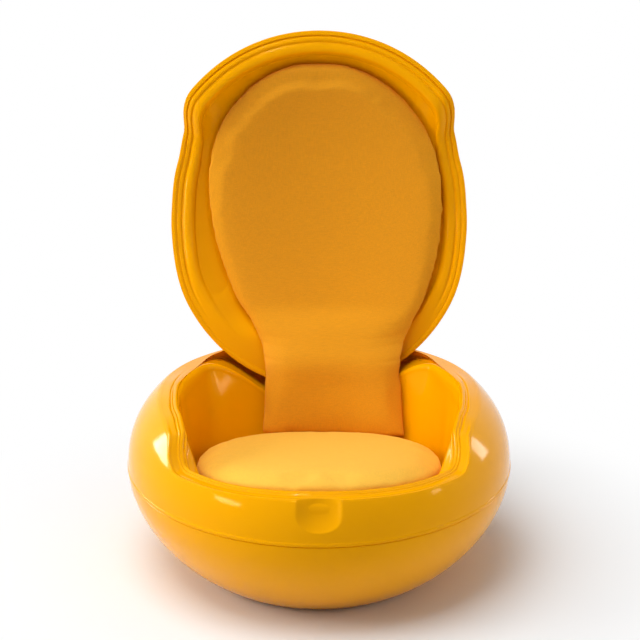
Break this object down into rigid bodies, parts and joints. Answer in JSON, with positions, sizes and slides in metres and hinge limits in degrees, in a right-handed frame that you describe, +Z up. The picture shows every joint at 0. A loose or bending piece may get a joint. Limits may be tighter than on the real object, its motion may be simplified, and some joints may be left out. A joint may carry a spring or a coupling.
{
  "type": "pod chair",
  "caption": "Egg-shaped folding pod chair in glossy moulded plastic: the hinged upper half opens into a cushioned backrest over a rounded seat base.",
  "frame": {"origin": "centre of the flat foot on the floor, with the lid open", "axes": "+Z up, the seat's open front towards -Y, the raised backrest at +Y, the hinge axis along X"},
  "size_m": [0.7666, 0.8575, 1.008],
  "materials": {
    "shell": "high-gloss lacquered yellow-orange",
    "cushion": "finely woven orange-ochre cloth over foam",
    "steel": "plain stainless steel",
    "rubber": "black rubber",
    "tape": "black hook-and-loop tape"
  },
  "bodies": {
    "base": {"lower_shell": "shell", "upper_shell": "shell", "seat_cushion": "cushion", "lower_back_cushion": "cushion", "hinge_base_leaves": "steel", "hinge_pins": "steel", "hinge_base_screws": "steel", "lid_stops": "rubber", "lid_stop_screws": "steel"},
    "lid": {"lid_shell": "shell", "lid_liner": "shell", "back_cushion": "cushion", "back_cushion_fold": "cushion", "hinge_lid_leaves": "steel", "hinge_lid_screws": "steel", "lid_pad_tapes": "tape"}
  },
  "joints": [
    {"name": "lid_fold", "type": "hinge", "parent": "base", "child": "lid", "pos_m": [0, 0.27, 0.34], "axis": [1, 0, 0], "range_deg": [0, 101], "deforming": ["back_cushion_fold"]}
  ]
}
